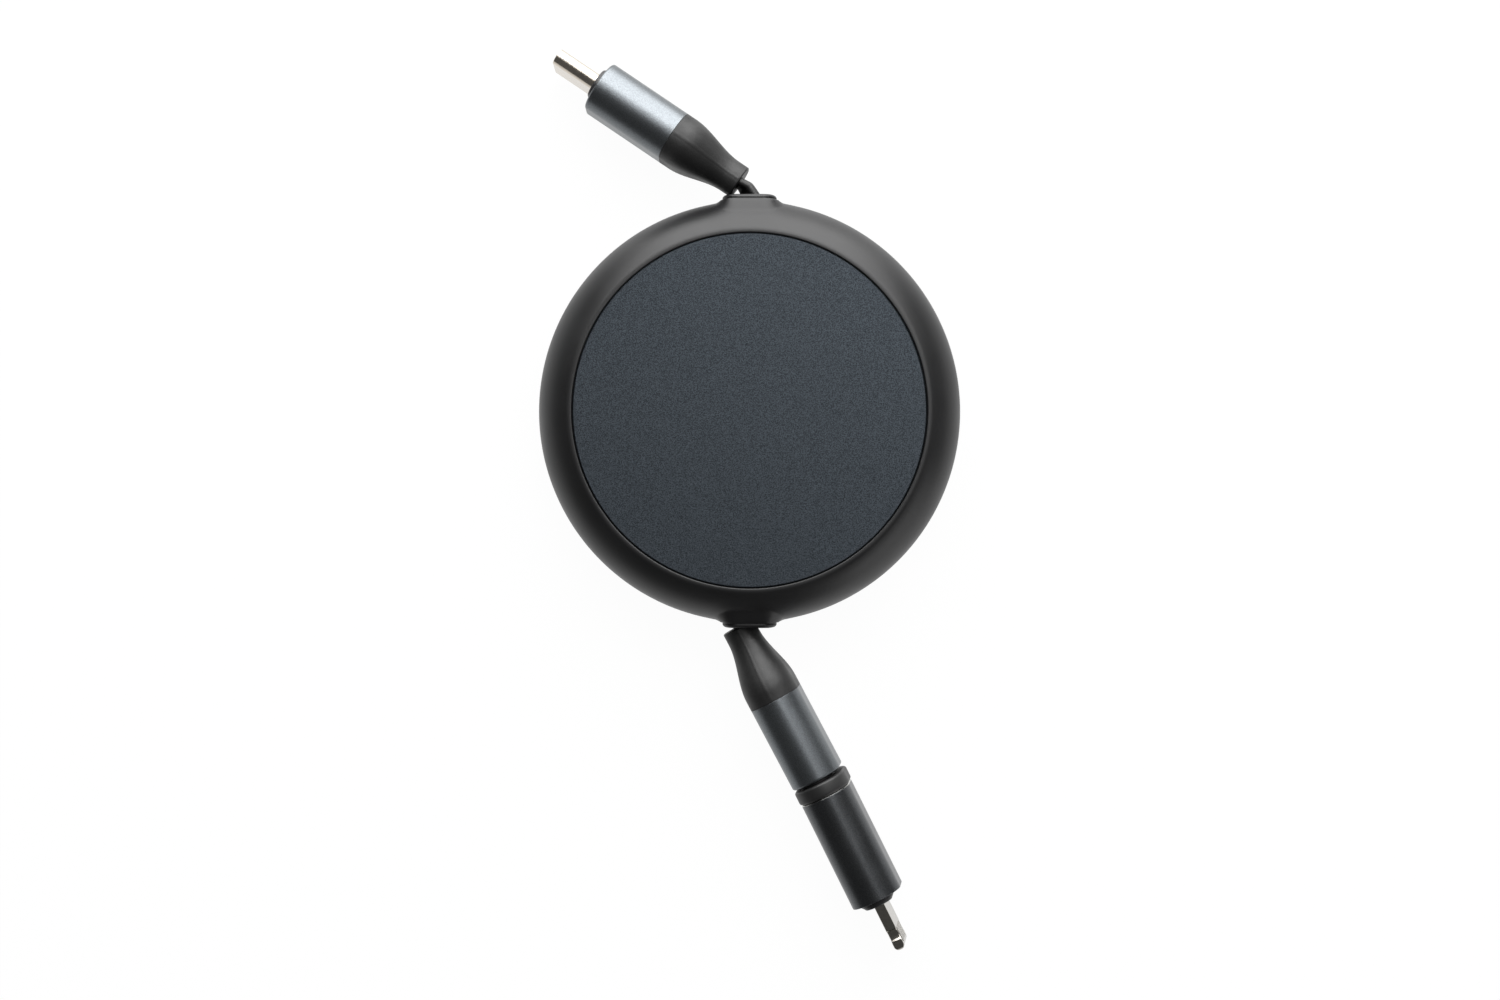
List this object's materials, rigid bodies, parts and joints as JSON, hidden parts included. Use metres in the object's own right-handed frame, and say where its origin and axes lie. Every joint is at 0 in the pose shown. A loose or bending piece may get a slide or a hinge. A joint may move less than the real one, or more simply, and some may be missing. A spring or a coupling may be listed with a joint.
{
  "type": "retractable charging cable",
  "caption": "Round sprung winder with a flat cable pulled out at both sides, an oval plug on each end and a slide-on adapter with a flat tab.",
  "frame": {"origin": "centre of the winder's underside", "axes": "+Z out of the winder's face plate, +Y towards the upper cable mouth, +X to its right"},
  "size_m": [0.06, 0.1279, 0.014],
  "materials": {
    "shell": "smooth satin moulding",
    "face_plate": "fine sandblasted and anodised, dark slate",
    "adhesive": "thin foam tape",
    "fastener_steel": "plain",
    "spring_steel": "blued spring strip",
    "spool": "plain moulding",
    "cable": "matt elastomer jacket",
    "pawl": "stamped",
    "boot": "matt moulded elastomer",
    "plug_sleeve": "bead blasted and anodised, gunmetal",
    "adapter_sleeve": "bead blasted and anodised, charcoal",
    "mould": "inner moulding",
    "collar": "satin moulding",
    "tip_steel": "bright drawn steel",
    "insert": "black moulding",
    "contacts": "gold plated",
    "ring": "satin moulding",
    "tab_steel": "satin plated"
  },
  "bodies": {
    "winder": {"bottom_shell": "shell", "top_shell": "shell", "face_plate": "face_plate", "plate_adhesive": "adhesive", "centre_screw": "fastener_steel", "pawl_pin": "fastener_steel", "pawl_spring": "spring_steel", "cable_lead_a": "cable", "cable_lead_b": "cable"},
    "spool": {"spool": "spool", "spool_cap": "spool", "wound_cable": "cable", "mainspring": "spring_steel"},
    "pawl": {"ratchet_pawl": "pawl"},
    "plug_a": {"plug_a_boot": "boot", "plug_a_sleeve": "plug_sleeve", "plug_a_core": "mould", "plug_a_collar": "collar", "plug_a_tip": "tip_steel", "plug_a_insert": "insert", "plug_a_contacts": "contacts"},
    "plug_b": {"plug_b_boot": "boot", "plug_b_sleeve": "plug_sleeve", "plug_b_core": "mould", "plug_b_collar": "collar", "plug_b_tip": "tip_steel", "plug_b_insert": "insert", "plug_b_contacts": "contacts"},
    "adapter": {"adapter_ring": "ring", "adapter_sleeve": "adapter_sleeve", "adapter_socket": "tab_steel", "adapter_tongue": "insert", "adapter_core": "mould", "adapter_collar": "collar", "adapter_tab": "tab_steel", "adapter_contacts": "contacts"}
  },
  "joints": [
    {"name": "spool_spin", "type": "hinge", "parent": "winder", "child": "spool", "pos_m": [0, 0, 0.007], "axis": [0, 0, 1], "range_deg": [0, 1500], "stiffness_Nm_per_rad": 0.0006, "springref_deg": -572.96, "deforming": ["mainspring"]},
    {"name": "pawl_swing", "type": "hinge", "parent": "winder", "child": "pawl", "pos_m": [0.02305, -0.00705, 0.0019], "axis": [0, 0, 1], "range_deg": [0, 10], "stiffness_Nm_per_rad": 0.0002, "deforming": ["pawl_spring"]},
    {"name": "plug_a_pull", "type": "slide", "parent": "winder", "child": "plug_a", "axis": [-0.8271, 0.5621, 0], "range_m": [0, 0.44], "deforming": ["cable_lead_a"]},
    {"name": "plug_b_pull", "type": "slide", "parent": "winder", "child": "plug_b", "axis": [0.4679, -0.8838, 0], "range_m": [0, 0.44], "deforming": ["cable_lead_b"]},
    {"name": "adapter_pull", "type": "slide", "parent": "plug_b", "child": "adapter", "axis": [0.4447, -0.8954, -0.0241], "range_m": [0, 0.02]}
  ],
  "couplings": [
    {"joint": "plug_a_pull", "follows": "spool_spin", "m_per_rad": 0.0168},
    {"joint": "plug_b_pull", "follows": "spool_spin", "m_per_rad": 0.0168}
  ]
}
